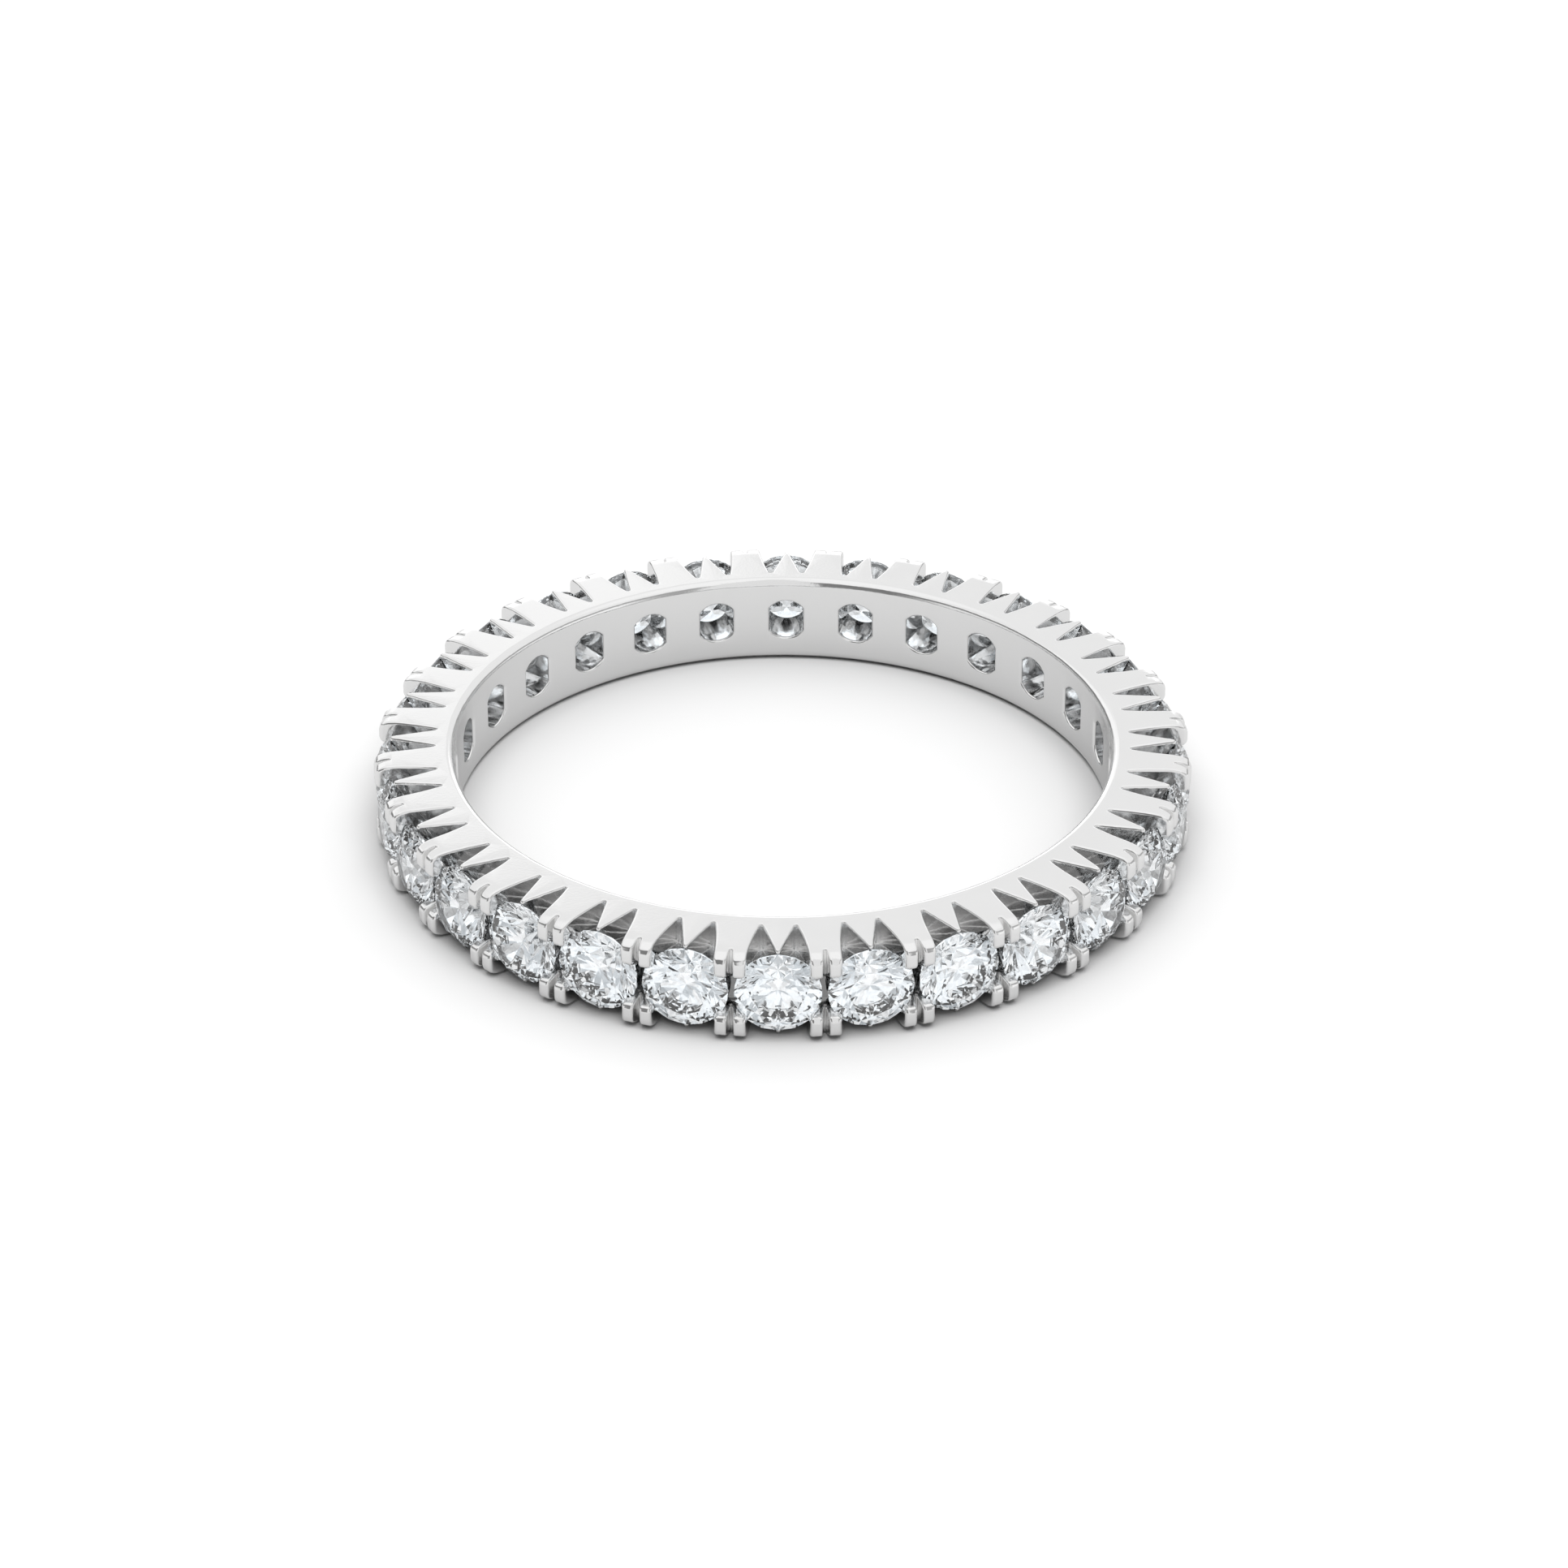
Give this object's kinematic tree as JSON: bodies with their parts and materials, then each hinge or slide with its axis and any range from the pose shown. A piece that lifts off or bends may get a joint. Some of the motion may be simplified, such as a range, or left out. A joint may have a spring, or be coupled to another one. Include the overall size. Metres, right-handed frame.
{
  "type": "eternity ring",
  "caption": "Full eternity ring: a cast band with paired prongs that hold one row of round brilliant stones, with notched sides and an open back behind each stone.",
  "frame": {"origin": "on the surface that the ring lies on, under the middle of the finger bore", "axes": "+Z along the finger bore, up from the lower side of the band; -Y towards a pair of prongs, with the first stone half a pitch from it"},
  "size_m": [0.0212, 0.0212, 0.0024],
  "materials": {
    "metal": "polished rhodium-plated white gold",
    "stones": "faceted, colourless and clear"
  },
  "bodies": {
    "root": {"band": "metal", "stone_01": "stones", "stone_02": "stones", "stone_03": "stones", "stone_04": "stones", "stone_05": "stones", "stone_06": "stones", "stone_07": "stones", "stone_08": "stones", "stone_09": "stones", "stone_10": "stones", "stone_11": "stones", "stone_12": "stones", "stone_13": "stones", "stone_14": "stones", "stone_15": "stones", "stone_16": "stones", "stone_17": "stones", "stone_18": "stones", "stone_19": "stones", "stone_20": "stones", "stone_21": "stones", "stone_22": "stones", "stone_23": "stones", "stone_24": "stones", "stone_25": "stones", "stone_26": "stones", "stone_27": "stones", "stone_28": "stones"}
  },
  "joints": []
}
